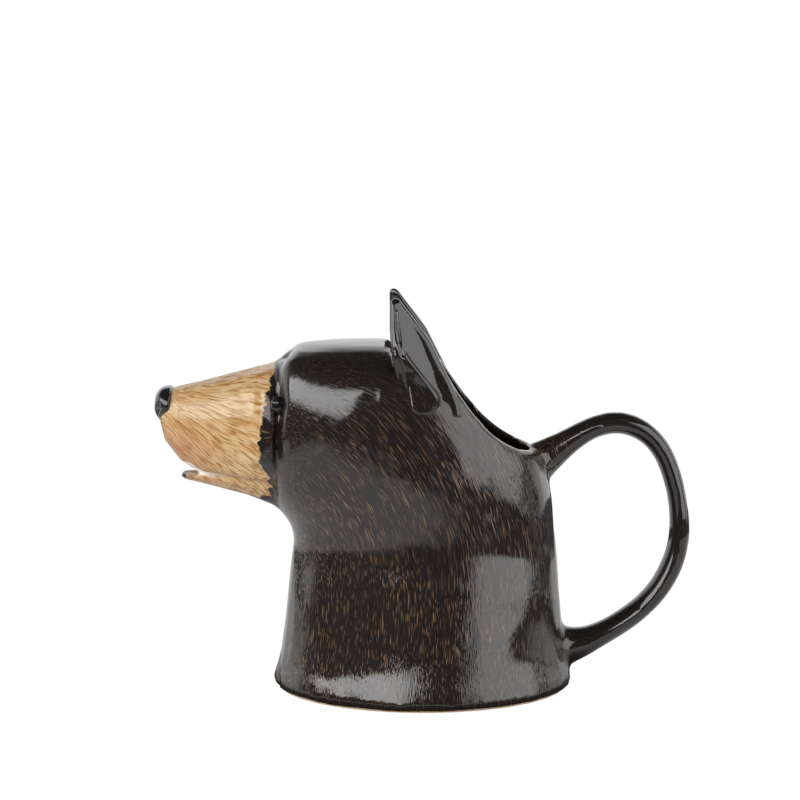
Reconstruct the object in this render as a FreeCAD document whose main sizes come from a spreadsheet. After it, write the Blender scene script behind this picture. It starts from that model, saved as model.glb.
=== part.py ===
import FreeCAD, Part
import math
import os
from FreeCAD import Vector

# Bear jug in glazed earthenware, in millimetres.
# The nose looks towards -X, the handle is at +X, Z is up and Y = 0 is the plane of symmetry.
# The origin is on the table, under the middle of the foot. A named size is a real length; a
# table of shares places each station of a form between the sizes that bound it.

doc = FreeCAD.newDocument("bear_jug")
sizes = doc.addObject("Spreadsheet::Sheet", "sizes")

# Driving dimensions

SIZES = (
    ("base_length", 115.0, "neck at the table, front to back, before the flare"),
    ("base_width", 107.0, "neck at the table, side to side, before the flare"),
    ("base_flare", 2.4, "how far the hem of the neck turns out"),
    ("flare_height", 8.5, "height over which the hem turns out"),
    ("hem_round", 0.8, "rounding under the hem"),
    ("foot_height", 1.6, "standing ring below the hem"),
    ("foot_inset", 0.6, "standing ring inside the neck at the table"),
    ("foot_breadth", 6.5, "radial breadth of the standing ring"),
    ("floor_thickness", 5.4, "floor of the jug above the standing ring"),
    ("floor_round", 4.0, "rounding between floor and wall inside"),
    ("wall", 4.2, "slip-cast wall"),
    ("neck_length", 103.8, "neck at the throat, front to back"),
    ("neck_width", 90.4, "neck at the throat, side to side"),
    ("neck_offset", 0.9, "middle of the neck behind the middle of the foot"),
    ("throat_height", 58.0, "table to the throat, where the neck bends into the head"),
    ("head_height", 137.0, "table to the top of the head"),
    ("head_width", 93.0, "widest part of the head"),
    ("face_reach", 57.0, "middle of the foot to the plane of the face"),
    ("face_bulge", 3.5, "how far the head would reach past the plane that cuts its face flat"),
    ("face_bottom", 70.5, "table to the chin, in the plane of the face"),
    ("lip_setback", 12.6, "middle of the foot to the front edge of the opening, at the crown"),
    ("lip_lean", 1.8, "how far that edge leans forward over its height"),
    ("shelf_height", 127.5, "table to the seat of the ears beside the opening"),
    ("rim_reach", 46.5, "middle of the foot to the back end of the rim"),
    ("rim_height", 94.5, "table to the back end of the rim"),
    ("muzzle_reach", 103.4, "middle of the foot to the tip of the muzzle"),
    ("muzzle_top", 129.0, "table to the bridge of the muzzle, in the plane of the face"),
    ("muzzle_bottom", 76.0, "table to the hidden underside of the muzzle, in that plane"),
    ("muzzle_tip_height", 110.5, "table to the tip of the muzzle"),
    ("muzzle_width", 50.0, "muzzle in the plane of the face"),
    ("lip_height", 84.0, "table to the line where upper and lower lip meet"),
    ("jaw_reach", 95.3, "middle of the foot to the tip of the lower lip"),
    ("jaw_width", 34.0, "lower jaw in the plane of the face"),
    ("jaw_wall", 2.3, "wall of the trough near the tip of the lip"),
    ("lip_rise", 0.9, "tip of the lower lip above the line of the mouth"),
    ("mouth_gap", 4.4, "roof of the mouth above the line of the mouth"),
    ("nose_front", 105.3, "middle of the foot to the front of the nose"),
    ("nose_depth", 5.2, "half the depth of the nose pad"),
    ("nose_half_width", 10.2, "half the width of the nose pad"),
    ("nose_half_height", 8.6, "half the height of the nose pad"),
    ("nose_height", 110.0, "table to the middle of the nose pad"),
    ("nostril_radius", 1.9, "ball that hollows a nostril"),
    ("eye_radius", 3.5, "ball of an eye"),
    ("eye_height", 114.5, "table to the middle of an eye"),
    ("eye_spacing", 60.0, "between the middles of the eyes"),
    ("eye_setback", 1.6, "middle of an eye behind the plane of the face"),
    ("ear_height", 154.7, "table to the tips of the ears"),
    ("ear_foot", 111.5, "table to the lower end of an ear"),
    ("ear_thickness", 4.6, "leaf of an ear"),
    ("ear_tip_spacing", 63.0, "between the tips of the ears"),
    ("handle_reach", 102.0, "middle of the foot to the middle of the strap, furthest out"),
    ("handle_top", 104.0, "table to the middle of the strap at its crook"),
    ("handle_bottom", 14.5, "table to the middle of the lower root"),
    ("strap_thickness", 8.6, "strap of the handle"),
    ("strap_breadth", 14.0, "strap of the handle, side to side"),
    ("overrun", 6.0, "how far a cutter passes what it cuts"),
)

for row, (alias, value, meaning) in enumerate(SIZES, start=1):
    sizes.set(f"A{row}", alias)
    sizes.set(f"B{row}", str(value))
    sizes.setAlias(f"B{row}", alias)
    sizes.set(f"C{row}", meaning)
doc.recompute()


def size(alias):
    return float(sizes.get(alias))


def blend(start, end, share):
    return start + (end - start) * share


# Working forms

X_AXIS = Vector(1, 0, 0)
Y_AXIS = Vector(0, 1, 0)
Z_AXIS = Vector(0, 0, 1)


def swell(value, fullness):
    """Round at fullness 2, squarer above it."""
    return math.copysign(abs(value) ** (2 / fullness), value)


def ring(label, centre, along, aside, half_along, half_aside, sides, fullness=2.0, cup=0.0,
         turn_share=0.0):
    """Polygon around centre; cup bends its two long sides against the direction aside.

    Its first corner lies turn_share of a side away from the end that along points to, so that
    forms which are cut with one another don't have their edges in one plane."""
    corners = []
    for step in range(sides):
        angle = 2 * math.pi * (step + turn_share) / sides
        forward = swell(math.cos(angle), fullness)
        outward = half_aside * swell(math.sin(angle), fullness) - cup * (1 - forward ** 2)
        corners.append(centre + along * (half_along * forward) + aside * outward)
    feature = doc.addObject("Part::Feature", label)
    feature.Shape = Part.makePolygon(corners + corners[:1])
    return feature


def loft(label, rings, ruled=True):
    feature = doc.addObject("Part::Loft", label)
    feature.Sections = rings
    feature.Solid = True
    feature.Ruled = ruled
    return feature


def cut(label, base, tool):
    feature = doc.addObject("Part::Cut", label)
    feature.Base = base
    feature.Tool = tool
    return feature


def common(label, base, tool):
    feature = doc.addObject("Part::Common", label)
    feature.Base = base
    feature.Tool = tool
    return feature


def carve(label, base, tools):
    """Cuts with one tool after another; only the last result bears the label."""
    for number, tool in enumerate(tools[:-1], start=1):
        base = cut(f"{label}_stage_{number}", base, tool)
    return cut(label, base, tools[-1])


def side_view_block(label, edges):
    """Closed outline in the plane of symmetry, run out to both sides past the whole jug."""
    outline = doc.addObject("Part::Feature", label + "_outline")
    outline.Shape = Part.Face(Part.Wire(edges))
    block = doc.addObject("Part::Extrusion", label)
    block.Base = outline
    block.DirMode = "Custom"
    block.Dir = Y_AXIS
    block.Symmetric = True
    block.Solid = True
    block.setExpression("LengthFwd", "sizes.base_width + 2 * sizes.overrun")
    return block


def polyline(points):
    return [Part.makeLine(start, end) for start, end in zip(points, points[1:])]


# Neck and head: one skin from the hem up the neck, round the throat and forward to the brow

HEM_SHARES = (0.0, 0.14, 0.40, 0.80, 1.40, 2.40)
NECK_SHARES = (0.60,)

# Stations from the throat to the brow, each tipped further forward than the one below it. The
# first four columns place the two ends in the side view: front end out from the neck to the
# furthest point of the face and up from throat to crown, back end forward and up between the
# same heights. Then come width and fullness.
HEAD_SHARES = (
    (0.00, 0.00, 0.000, 0.00, 0.972, 2.0),
    (0.10, 0.07, 0.014, 0.23, 0.978, 2.0),
    (0.34, 0.12, 0.045, 0.42, 0.990, 2.1),
    (0.70, 0.175, 0.110, 0.62, 1.000, 2.3),
    (0.95, 0.28, 0.235, 0.83, 1.000, 2.6),
    (1.00, 0.41, 0.372, 0.95, 0.990, 2.7),
    (1.00, 0.53, 0.500, 0.995, 0.960, 2.6),
    (0.98, 0.64, 0.652, 1.00, 0.900, 2.4),
    (0.88, 0.76, 0.787, 0.996, 0.790, 2.2),
    (0.74, 0.85, 0.882, 0.984, 0.620, 2.2),
    (0.58, 0.90, 0.930, 0.953, 0.370, 2.2),
)

NECK_SIDES = 32
HOLLOW_SIDES = 20
HOLLOW_TURN_SHARE = 0.5
CORNER_SHARE = 0.25


def neck_rings(label, inset):
    """Level stations; inset 0 gives the outside and the wall gives the inside."""
    start = size("foot_height")
    tuck = size("hem_round")
    shares = HEM_SHARES
    if inset:
        start += size("floor_thickness")
        tuck = size("floor_round")
        shares = HEM_SHARES[::2]
    levels = [start + size("flare_height") * share for share in shares]
    levels += [size("throat_height") * share for share in NECK_SHARES]
    rings = []
    for height in levels:
        rise = height / size("throat_height")
        flare = size("base_flare") * math.exp(-(height / size("flare_height")) ** 2)
        corner = tuck * math.exp(-(height - start) / (tuck * CORNER_SHARE))
        half_length = blend(size("base_length"), size("neck_length"), rise) / 2 + flare
        half_width = blend(size("base_width"), size("neck_width"), rise) / 2 + flare
        rings.append(ring(f"{label}_level_{len(rings)}",
                          Vector(size("neck_offset") * rise, 0, height), X_AXIS, Y_AXIS,
                          half_length - inset - corner, half_width - inset - corner,
                          HOLLOW_SIDES if inset else NECK_SIDES,
                          turn_share=HOLLOW_TURN_SHARE if inset else 0.0))
    return rings


def head_rings(label, inset):
    front = size("neck_length") / 2 - size("neck_offset") - inset
    back = size("neck_length") / 2 + size("neck_offset") - inset
    face = size("face_reach") + size("face_bulge") - inset
    throat = size("throat_height")
    crown = size("head_height") - inset
    rings = []
    for out, up, forward, rise, width, fullness in HEAD_SHARES:
        near = Vector(-blend(front, face, out), 0, blend(throat, crown, up))
        far = Vector(blend(back, -face, forward), 0, blend(throat, crown, rise))
        span = far - near
        half_width = size("head_width") * width / 2 - inset
        rings.append(ring(f"{label}_tilt_{len(rings)}", (near + far) / 2,
                          Vector(span).normalize(), Y_AXIS, span.Length / 2, half_width,
                          HOLLOW_SIDES if inset else NECK_SIDES, fullness,
                          turn_share=HOLLOW_TURN_SHARE if inset else 0.0))
    return rings


def flat_face(label, skin, reach):
    """Cuts the form off flat in front, above the throat; reach is where the plane lies."""
    block = doc.addObject("Part::Box", label + "_block")
    block.setExpression("Length",
                        f"sizes.face_reach + sizes.face_bulge + sizes.overrun - {reach}")
    block.setExpression("Width", "sizes.head_width + 2 * sizes.overrun")
    block.setExpression("Height", "sizes.head_height + sizes.overrun - sizes.throat_height")
    block.setExpression("Placement.Base.x",
                        "-sizes.face_reach - sizes.face_bulge - sizes.overrun")
    block.setExpression("Placement.Base.y", "-sizes.head_width / 2 - sizes.overrun")
    block.setExpression("Placement.Base.z", "sizes.throat_height")
    return cut(label, skin, block)


whole_skin = loft("whole_skin", neck_rings("skin", 0) + head_rings("skin", 0))
whole_hollow = loft("whole_hollow",
                    neck_rings("hollow", size("wall")) + head_rings("hollow", size("wall")))
head_skin = flat_face("head_skin", whole_skin, "sizes.face_reach")
head_hollow = flat_face("head_hollow", whole_hollow, "(sizes.face_reach - sizes.wall)")

# Opening at the back of the head, seen from the side: down behind the crown to the seat of the
# ears, back along it, then a hollow sweep to the root of the handle. Shares run from the shelf.
RIM_SHARES = ((0.00, 1.00), (0.13, 0.75), (0.30, 0.49), (0.50, 0.24), (0.72, 0.07), (1.00, 0.00))
SHELF_LENGTH_SHARE = 0.345


def rim_points():
    shelf_end = blend(-size("lip_setback"), size("rim_reach"), SHELF_LENGTH_SHARE)
    points = []
    for back, up in RIM_SHARES:
        points.append(Vector(blend(shelf_end, size("rim_reach"), back), 0,
                             blend(size("rim_height"), size("shelf_height"), up)))
    return points


sweep = Part.BSplineCurve()
sweep.interpolate(Points=rim_points())
above = size("ear_height") + size("overrun")
rim_corners = [
    rim_points()[-1],
    Vector(size("handle_reach"), 0, size("rim_height")),
    Vector(size("handle_reach"), 0, above),
    Vector(-size("lip_setback"), 0, above),
    Vector(-size("lip_setback"), 0, size("head_height")),
    Vector(size("lip_lean") - size("lip_setback"), 0, size("shelf_height")),
    rim_points()[0],
]
rim_cutter = side_view_block("rim_cutter", [sweep.toShape()] + polyline(rim_corners))
closed_head = cut("closed_head", head_skin, rim_cutter)

# Muzzle: how far out, height of the bridge, depth of the underside, width
MUZZLE_SHARES = (
    (0.00, 1.00, 1.00, 1.00),
    (0.30, 0.785, 0.91, 0.85),
    (0.63, 0.573, 0.79, 0.71),
    (0.82, 0.470, 0.61, 0.61),
    (0.95, 0.385, 0.38, 0.44),
    (1.00, 0.180, 0.12, 0.20),
)
MUZZLE_SIDES = 14
MUZZLE_FULLNESS = 2.6


def muzzle_rings(label, inset):
    rings = []
    tip = size("muzzle_tip_height")
    for out, up, down, width in MUZZLE_SHARES[:-1] if inset else MUZZLE_SHARES:
        reach = blend(size("face_reach"), size("muzzle_reach") - inset, out)
        top = blend(tip, size("muzzle_top"), up) - inset
        bottom = blend(tip, size("muzzle_bottom"), down) + inset
        rings.append(ring(f"{label}_{len(rings)}", Vector(-reach, 0, (top + bottom) / 2),
                          Z_AXIS, Y_AXIS, (top - bottom) / 2,
                          size("muzzle_width") * width / 2 - inset, MUZZLE_SIDES, MUZZLE_FULLNESS,
                          turn_share=HOLLOW_TURN_SHARE if inset else 0.0))
    return rings


def root_ring(label, inset):
    """Carries the hollow of the muzzle back through the front wall of the head."""
    top = size("muzzle_top") - inset
    bottom = size("muzzle_bottom") + inset
    reach = size("face_reach") - size("wall") - size("overrun")
    return ring(label, Vector(-reach, 0, (top + bottom) / 2), Z_AXIS, Y_AXIS,
                (top - bottom) / 2, size("muzzle_width") / 2 - inset, MUZZLE_SIDES,
                MUZZLE_FULLNESS, turn_share=HOLLOW_TURN_SHARE)


muzzle_skin = loft("muzzle_skin", muzzle_rings("muzzle_skin", 0))
muzzle_hollow = loft("muzzle_hollow",
                     [root_ring("muzzle_root", size("wall"))]
                     + muzzle_rings("muzzle_hollow", size("wall")))

# Lower jaw: how far out, depth below the lips, width, rise of the lips towards the tip
JAW_SHARES = (
    (0.00, 1.00, 1.00, 0.0),
    (0.30, 0.64, 0.82, 0.0),
    (0.76, 0.31, 0.60, 0.5),
    (0.95, 0.22, 0.46, 1.0),
    (1.00, 0.13, 0.28, 1.0),
)
JAW_SIDES = 10
CHANNEL_SIDES = 8
JAW_FULLNESS = 2.2
CHANNEL_FULLNESS = 3.0


def jaw_rings(label, carved):
    """The jaw itself, or the channel carved through it, under the muzzle and into the head."""
    rings = []
    inward = -(size("wall") + size("overrun")) / (size("jaw_reach") - size("face_reach"))
    root = [(inward, *JAW_SHARES[0][1:])] if carved else []
    for out, down, width, rise in [*root, *JAW_SHARES]:
        wall = blend(size("wall"), size("jaw_wall"), max(out, 0)) if carved else 0
        lips = size("lip_height") + size("lip_rise") * rise
        depth = (size("lip_height") - size("face_bottom")) * down - wall
        height = size("mouth_gap") if carved else depth
        top = lips + height
        bottom = lips - depth
        reach = blend(size("face_reach"), size("jaw_reach"), out)
        rings.append(ring(f"{label}_{len(rings)}", Vector(-reach, 0, (top + bottom) / 2),
                          Z_AXIS, Y_AXIS, (top - bottom) / 2, size("jaw_width") * width / 2 - wall,
                          CHANNEL_SIDES if carved else JAW_SIDES,
                          CHANNEL_FULLNESS if carved else JAW_FULLNESS,
                          turn_share=HOLLOW_TURN_SHARE if carved else 0.0))
    return rings


jaw_skin = loft("jaw_skin", jaw_rings("jaw_skin", False))
channel = loft("channel", jaw_rings("channel", True))

# The lips meet in a level line and part towards the front. Shares: how far out, rise of the lip
JAW_TOP_SHARES = ((0.5, 0.0), (0.68, -0.9), (0.84, 0.7), (0.97, 1.0), (1.10, 0.8))
low = size("face_bottom") - size("overrun")
far_out = size("nose_front") + size("overrun")
jaw_top = Part.BSplineCurve()
jaw_top_points = [Vector(-blend(size("face_reach"), size("jaw_reach"), out), 0,
                         size("lip_height") + size("lip_rise") * up) for out, up in JAW_TOP_SHARES]
jaw_top.interpolate(Points=jaw_top_points)
below_lips = side_view_block("below_lips", [jaw_top.toShape()] + polyline([
    jaw_top_points[-1],
    Vector(-far_out, 0, jaw_top_points[-1].z),
    Vector(-far_out, 0, low),
    Vector(-size("face_reach"), 0, low),
    Vector(-size("face_reach"), 0, size("lip_height")),
    jaw_top_points[0],
]))
above_lips = side_view_block("above_lips", polyline([
    Vector(-size("face_reach"), 0, size("lip_height")),
    Vector(-size("face_reach"), 0, above),
    Vector(-far_out, 0, above),
    Vector(-far_out, 0, size("lip_height")),
    Vector(-size("face_reach"), 0, size("lip_height")),
]))

upper_block = common("upper_block", muzzle_skin, above_lips)
lower_block = common("lower_block", jaw_skin, below_lips)
muzzle = carve("muzzle", upper_block, [muzzle_hollow, channel])
lower_jaw = cut("lower_jaw", lower_block, channel)

# Nose pad: how far back and how wide, over half its depth and half its breadth
NOSE_SHARES = ((0.0, 0.40), (0.22, 0.80), (0.72, 1.0), (1.5, 0.86))
NOSE_SIDES = 14
nose_rings = []
for back, breadth in NOSE_SHARES:
    nose_rings.append(ring(f"nose_{len(nose_rings)}",
                           Vector(size("nose_depth") * back - size("nose_front"), 0,
                                  size("nose_height")),
                           Z_AXIS, Y_AXIS, size("nose_half_height") * breadth,
                           size("nose_half_width") * breadth, NOSE_SIDES,
                           turn_share=HOLLOW_TURN_SHARE))
nose_pad = loft("nose_pad", nose_rings)

# Nostrils: round holes that lead back and in from the front of the pad
NOSTRIL_DEPTH_SHARE = 0.8
NOSTRIL_SIDE_SHARE = 0.52
NOSTRIL_DROP_SHARE = 0.3
nostrils = []
for side in (-1, 1):
    nostril = doc.addObject("Part::Cylinder", "nostril")
    nostril.setExpression("Radius", "sizes.nostril_radius")
    nostril.setExpression("Height", f"sizes.nose_depth * {NOSTRIL_DEPTH_SHARE} + sizes.overrun")
    nostril.setExpression("Placement.Base.x", "-sizes.nose_front - sizes.overrun")
    nostril.setExpression("Placement.Base.y",
                          f"{side} * sizes.nose_half_width * {NOSTRIL_SIDE_SHARE}")
    nostril.setExpression("Placement.Base.z",
                          f"sizes.nose_height - sizes.nose_half_height * {NOSTRIL_DROP_SHARE}")
    nostril.Placement.Rotation = FreeCAD.Rotation(Z_AXIS, X_AXIS)
    nostrils.append(nostril)
nose = carve("nose", nose_pad, [*nostrils, muzzle_skin])

# Eyes: glossy balls half sunk into the corners of the face, and sockets of the same size.
# Shares of the radius: how far above the middle, and the radius there
EYE_SHARES = ((-1.0, 0.0), (-0.88, 0.48), (-0.38, 0.93), (0.38, 0.93), (0.88, 0.48), (1.0, 0.0))


def eye_ball(label, side):
    middle = Vector(size("eye_setback") - size("face_reach"), side * size("eye_spacing") / 2,
                    size("eye_height"))
    profile = [middle + (Z_AXIS * up + X_AXIS * out) * size("eye_radius")
               for up, out in EYE_SHARES]
    outline = doc.addObject("Part::Feature", label + "_outline")
    outline.Shape = Part.Face(Part.makePolygon([*profile, profile[0]]))
    ball = doc.addObject("Part::Revolution", label)
    ball.Source = outline
    ball.Base = middle
    ball.Axis = Z_AXIS
    ball.Solid = True
    return ball


left_eye = eye_ball("left_eye", -1)
right_eye = eye_ball("right_eye", 1)

# Ears: cupped leaves. Height, middle and half length along the head, spread from the tip
# spacing to the side of the head, depth of the cup
EAR_SHARES = (
    (0.00, 0.12, 0.13, 1.00, 0.1),
    (0.08, 0.02, 0.31, 0.96, 0.3),
    (0.20, -0.09, 0.38, 0.87, 0.6),
    (0.37, -0.10, 0.49, 0.55, 0.8),
    (0.54, -0.32, 0.41, 0.31, 1.0),
    (0.73, -0.58, 0.29, 0.14, 0.9),
    (0.89, -0.79, 0.18, 0.05, 0.5),
    (1.00, -0.91, 0.08, 0.00, 0.1),
)
EAR_TURN_SHARE = 0.42
EAR_SIDES = 8
EAR_FULLNESS = 2.2


def ear_leaf(label, side):
    rings = []
    length = size("ear_height") - size("ear_foot")
    for rise, forward, reach, spread, cup in EAR_SHARES:
        height = blend(size("ear_foot"), size("ear_height"), rise)
        across = blend(size("ear_tip_spacing"), size("head_width"), spread) / 2
        centre = Vector(size("lip_setback") * forward, side * across, height)
        along = (X_AXIS - Y_AXIS * (EAR_TURN_SHARE * side)).normalize()
        rings.append(ring(f"{label}_{len(rings)}", centre, along, along.cross(-side * Z_AXIS),
                          length * reach / 2, size("ear_thickness") / 2, EAR_SIDES, EAR_FULLNESS,
                          size("ear_thickness") * cup / 2))
    return loft(label, rings, ruled=False)


left_ear = cut("left_ear", ear_leaf("left_leaf", -1), closed_head)
right_ear = cut("right_ear", ear_leaf("right_leaf", 1), closed_head)

# Handle: how far out and how high the strap's middle runs, thickness, breadth
HANDLE_SHARES = (
    (0.00, 0.83, 1.90, 1.40),
    (0.13, 0.885, 1.35, 1.18),
    (0.25, 0.935, 1.10, 1.04),
    (0.37, 0.975, 1.03, 1.0),
    (0.50, 1.00, 1.00, 1.0),
    (0.64, 0.990, 0.96, 1.0),
    (0.79, 0.935, 0.92, 1.0),
    (0.90, 0.840, 0.90, 1.0),
    (0.975, 0.68, 0.90, 1.0),
    (1.00, 0.53, 0.93, 1.0),
    (0.975, 0.41, 0.97, 1.0),
    (0.86, 0.26, 1.00, 1.0),
    (0.70, 0.155, 1.03, 1.0),
    (0.54, 0.088, 1.02, 1.02),
    (0.385, 0.035, 1.15, 1.08),
    (0.25, 0.005, 1.60, 1.22),
    (0.14, 0.00, 2.45, 1.42),
)
STRAP_SIDES = 12
STRAP_FULLNESS = 2.6


def handle_strap():
    root = size("rim_reach")
    points = [Vector(blend(root, size("handle_reach"), out), 0,
                     blend(size("handle_bottom"), size("handle_top"), up))
              for out, up, thickness, breadth in HANDLE_SHARES]
    rings = []
    for step, (out, up, thickness, breadth) in enumerate(HANDLE_SHARES):
        before = points[max(step - 1, 0)]
        after = points[min(step + 1, len(points) - 1)]
        run = (after - before).normalize()
        rings.append(ring(f"strap_{step}", points[step], run.cross(Y_AXIS), Y_AXIS,
                          size("strap_thickness") * thickness / 2,
                          size("strap_breadth") * breadth / 2, STRAP_SIDES, STRAP_FULLNESS))
    return loft("strap", rings)


handle = carve("handle", handle_strap(), [closed_head, head_hollow])

# Standing ring under the hem: two upright drums, one inside the other


def foot_drum(label, inset):
    rings = []
    for height in (0, size("foot_height")):
        rings.append(ring(f"{label}_{len(rings)}", Vector(0, 0, height), X_AXIS, Y_AXIS,
                          size("base_length") / 2 - inset, size("base_width") / 2 - inset,
                          NECK_SIDES))
    return loft(label, rings)


foot_ring = cut("foot_ring", foot_drum("foot_outside", size("foot_inset")),
                foot_drum("foot_inside", size("foot_inset") + size("foot_breadth")))

# Head shell: the closed skin without its hollow, the way into the muzzle and the sockets
head_shell = carve("head_shell", closed_head,
                   [left_eye, right_eye, head_hollow, muzzle_hollow, channel])

# Check every object, then write one file for each piece

PIECES = (head_shell, muzzle, lower_jaw, nose, left_eye, right_eye, left_ear, right_ear,
          handle, foot_ring)

doc.recompute()
for feature in doc.Objects:
    if "Invalid" in feature.State or "Error" in feature.State:
        raise RuntimeError(f"{feature.Label} did not build: {feature.State}")
os.makedirs("parts", exist_ok=True)
for piece in PIECES:
    if piece.Shape.isNull() or not piece.Shape.isValid():
        raise RuntimeError(f"{piece.Label} has no valid shape")
    if len(piece.Shape.Solids) != 1:
        raise RuntimeError(f"{piece.Label} has {len(piece.Shape.Solids)} solids")
    piece.Shape.exportStep(f"parts/{piece.Label}.step")
    print(piece.Label, round(piece.Shape.Volume / 1000, 2), "cm3")
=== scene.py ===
import math
import bmesh
import bpy
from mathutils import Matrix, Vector, noise
from mathutils.bvhtree import BVHTree


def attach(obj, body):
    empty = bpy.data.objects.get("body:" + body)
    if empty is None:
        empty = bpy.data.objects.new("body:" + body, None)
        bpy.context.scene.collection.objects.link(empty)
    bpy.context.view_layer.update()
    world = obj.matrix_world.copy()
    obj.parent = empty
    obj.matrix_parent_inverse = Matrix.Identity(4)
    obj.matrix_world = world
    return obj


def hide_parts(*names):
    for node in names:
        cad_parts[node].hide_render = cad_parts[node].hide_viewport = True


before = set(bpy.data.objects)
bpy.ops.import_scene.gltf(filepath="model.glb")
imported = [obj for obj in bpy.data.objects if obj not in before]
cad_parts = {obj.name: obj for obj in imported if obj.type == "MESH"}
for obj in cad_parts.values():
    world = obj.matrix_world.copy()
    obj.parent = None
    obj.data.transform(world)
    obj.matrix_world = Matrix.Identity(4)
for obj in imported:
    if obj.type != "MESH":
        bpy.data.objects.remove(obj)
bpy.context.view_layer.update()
MM = 0.001
bpy.context.scene.view_settings.view_transform = "Standard"

# Viewpoint
# A long lens a little above the rim, square to the side of the jug and a touch towards its nose.
# The middle of the picture lies over the neck, in the jug's plane of symmetry.
TARGET_X, TARGET_Z = -8.865, 113.15
VIEW_TARGET = Vector((TARGET_X, 0.0, TARGET_Z)) * MM
VIEW_DISTANCE = 945.6 * MM
VIEW_PITCH = math.radians(6.0)
VIEW_TURN = math.radians(0.7)
LENS = 108
SENSOR_WIDTH = 36

forward = Vector((math.sin(VIEW_TURN) * math.cos(VIEW_PITCH),
                  math.cos(VIEW_TURN) * math.cos(VIEW_PITCH), -math.sin(VIEW_PITCH)))
camera_data = bpy.data.cameras.new("photo_camera")
camera_data.lens = LENS
camera_data.sensor_width = SENSOR_WIDTH
camera = bpy.data.objects.new("photo_camera", camera_data)
camera.location = VIEW_TARGET - forward * VIEW_DISTANCE
camera.rotation_mode = "QUATERNION"
camera.rotation_quaternion = forward.to_track_quat("-Z", "Y")
bpy.context.scene.collection.objects.link(camera)
bpy.context.scene.camera = camera

# Table
# A white paper top under the jug. Its mirror image in the glaze ends where the paper did in the
# studio, and close to the foot that mirror image is painted dark, a painted shadow of the jug.
TABLE_HALF = 700 * MM
TABLE_END = (0.42, 0.45)
# Distances from the middle of the jug: past the first the glaze sees the paper, inside the second it
# sees a painted shadow of the foot
PAINTED_FOOT_SHADOW = (0.090, 0.066)
PAPER_WHITE = (0.9, 0.88, 0.86, 1)
PAPER_ROUGHNESS = 0.6
PAPER_GLOW, MIRRORED_GLOW, GLOOM = 1.04, 0.60, 0.04
GLOW_SHARE = 0.93
WHITE = (1, 1, 1, 1)


def add_object(name, data):
    made = bpy.data.objects.new(name, data)
    bpy.context.scene.collection.objects.link(made)
    return made


class Tree:
    """Short hand for building a material or world out of nodes."""

    def __init__(self, owner):
        owner.use_nodes = True
        self.nodes = owner.node_tree.nodes
        self.links = owner.node_tree.links
        self.nodes.clear()

    def add(self, kind, settings=None, **sockets):
        """New node; a socket is given by its name, or as i and its number."""
        node = self.nodes.new(kind)
        for key, value in (settings or {}).items():
            setattr(node, key, value)
        for key, value in sockets.items():
            self.set(node, key.replace("_", " "), value)
        return node

    def set(self, node, key, value):
        numbered = key[0] == "i" and key[1:].isdigit()
        socket = node.inputs[int(key[1:])] if numbered else node.inputs[key]
        if isinstance(value, bpy.types.NodeSocket):
            self.links.new(value, socket)
        elif isinstance(value, bpy.types.Node):
            self.links.new(value.outputs[0], socket)
        else:
            socket.default_value = value

    def math(self, operation, first, second=0.0, third=0.0):
        return self.add("ShaderNodeMath", {"operation": operation}, i0=first, i1=second, i2=third)

    def times(self, first, second):
        return self.math("MULTIPLY", first, second)

    def less(self, value, share):
        """1 where the value is 0, and lower by the share where it is 1."""
        return self.math("MULTIPLY_ADD", value, -share, 1.0)

    def mix(self, share, first, second):
        node = self.add("ShaderNodeMix", {"data_type": "RGBA"})
        self.set(node, "i0", share)
        self.set(node, "i6", first)
        self.set(node, "i7", second)
        return node.outputs[2]

    def ramp(self, value, limits):
        """0 before the first limit, 1 past the second, smooth between."""
        node = self.add("ShaderNodeMapRange", {"interpolation_type": "SMOOTHSTEP"})
        self.set(node, "i0", value)
        self.set(node, "i1", limits[0])
        self.set(node, "i2", limits[1])
        return node.outputs[0]

    def place(self):
        return self.add("ShaderNodeTexCoord").outputs["Object"]

    def attribute(self, name, output):
        return self.add("ShaderNodeAttribute", {"attribute_name": name}).outputs[output]

    def speckle(self, scale, detail):
        return self.add("ShaderNodeTexNoise", Vector=self.place(), Scale=scale, Detail=detail)


table_mesh = bmesh.new()
bmesh.ops.create_grid(table_mesh, x_segments=1, y_segments=1, size=TABLE_HALF)
table_data = bpy.data.meshes.new("table")
table_mesh.to_mesh(table_data)
table_mesh.free()
table = add_object("table", table_data)

table_top = bpy.data.materials.new("table_top")
tree = Tree(table_top)
rays = tree.add("ShaderNodeLightPath")
in_glaze = rays.outputs["Is Glossy Ray"]
away = tree.add("ShaderNodeVectorMath", {"operation": "LENGTH"}, i0=tree.place()).outputs["Value"]
# Where glossy rays see dark instead of paper: past the paper's end, and near the foot as a painted
# shadow
paper_end_and_painted_shadow = tree.math("MAXIMUM", tree.ramp(away, TABLE_END), tree.ramp(away, PAINTED_FOOT_SHADOW))
seen = tree.times(tree.math("MAXIMUM", rays.outputs["Is Camera Ray"], in_glaze), GLOW_SHARE)
paper = tree.add("ShaderNodeBsdfPrincipled", Base_Color=PAPER_WHITE, Roughness=PAPER_ROUGHNESS)
strength = tree.math("MULTIPLY_ADD", in_glaze, MIRRORED_GLOW - PAPER_GLOW, PAPER_GLOW)
glow = tree.add("ShaderNodeEmission", Color=WHITE, Strength=strength)
gloom = tree.add("ShaderNodeEmission", Color=WHITE, Strength=GLOOM)
lit_top = tree.add("ShaderNodeMixShader", i0=seen, i1=paper, i2=glow)
whole_top = tree.add("ShaderNodeMixShader", i0=tree.times(in_glaze, paper_end_and_painted_shadow), i1=lit_top, i2=gloom)
tree.add("ShaderNodeOutputMaterial", Surface=whole_top)
table.data.materials.append(table_top)

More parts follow.
